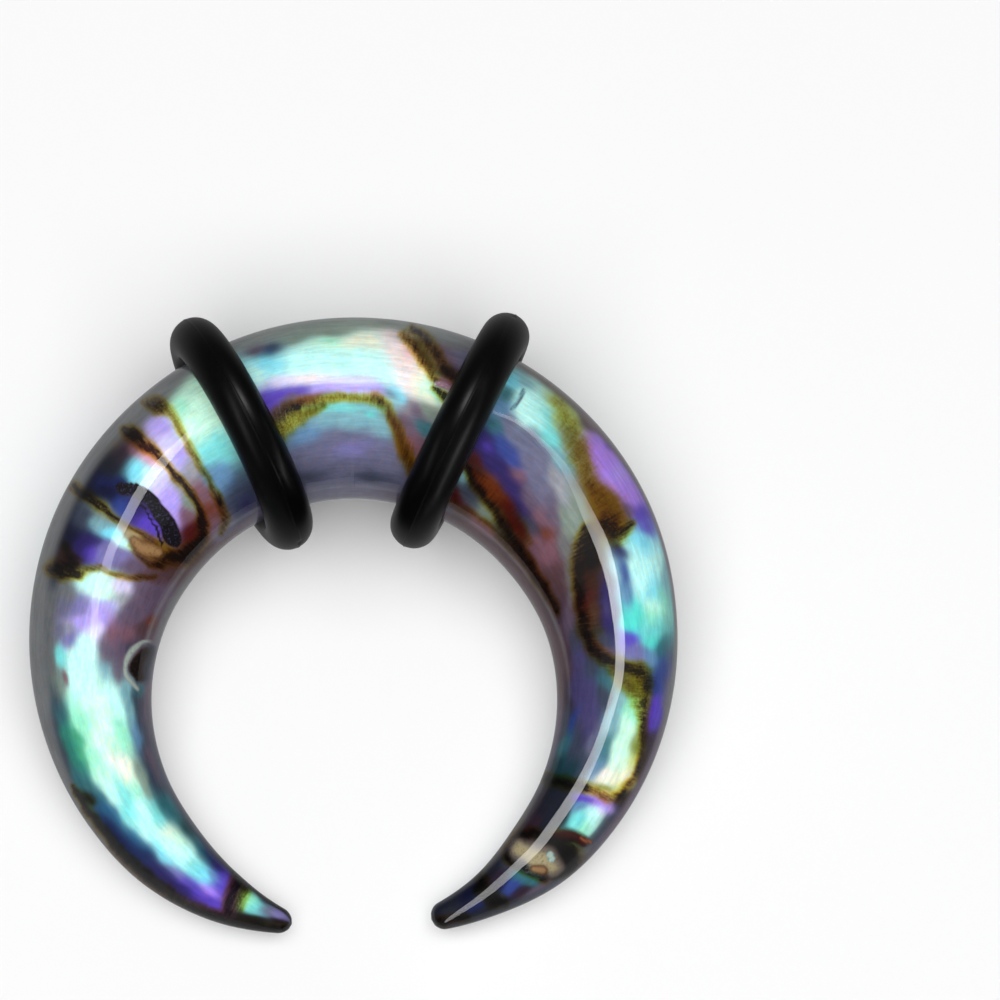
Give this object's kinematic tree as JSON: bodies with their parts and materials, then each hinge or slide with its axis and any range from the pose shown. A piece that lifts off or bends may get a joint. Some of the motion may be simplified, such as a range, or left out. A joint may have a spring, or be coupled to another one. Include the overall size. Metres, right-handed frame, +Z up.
{
  "type": "ear stretching taper",
  "caption": "Crescent ear stretching taper with pointed horns, an iridescent shell core in a clear coat, held by black rubber rings.",
  "frame": {"origin": "on the surface that the taper lies on, under the middle of its outline seen from above", "axes": "+Z up; +X across the crescent, from the left horn to the right horn; +Y from the tips towards the thick top"},
  "size_m": [0.0286, 0.0268, 0.0113],
  "materials": {
    "clear_coat": "clear cast resin, polished to a high gloss",
    "shell_core": "iridescent shell with dark growth lines, in mint, aqua, violet and olive",
    "o_ring": "satin black moulded rubber"
  },
  "bodies": {
    "root": {"clear_coat": "clear_coat", "shell_core": "shell_core", "o_ring_left": "o_ring", "o_ring_right": "o_ring"}
  },
  "joints": []
}
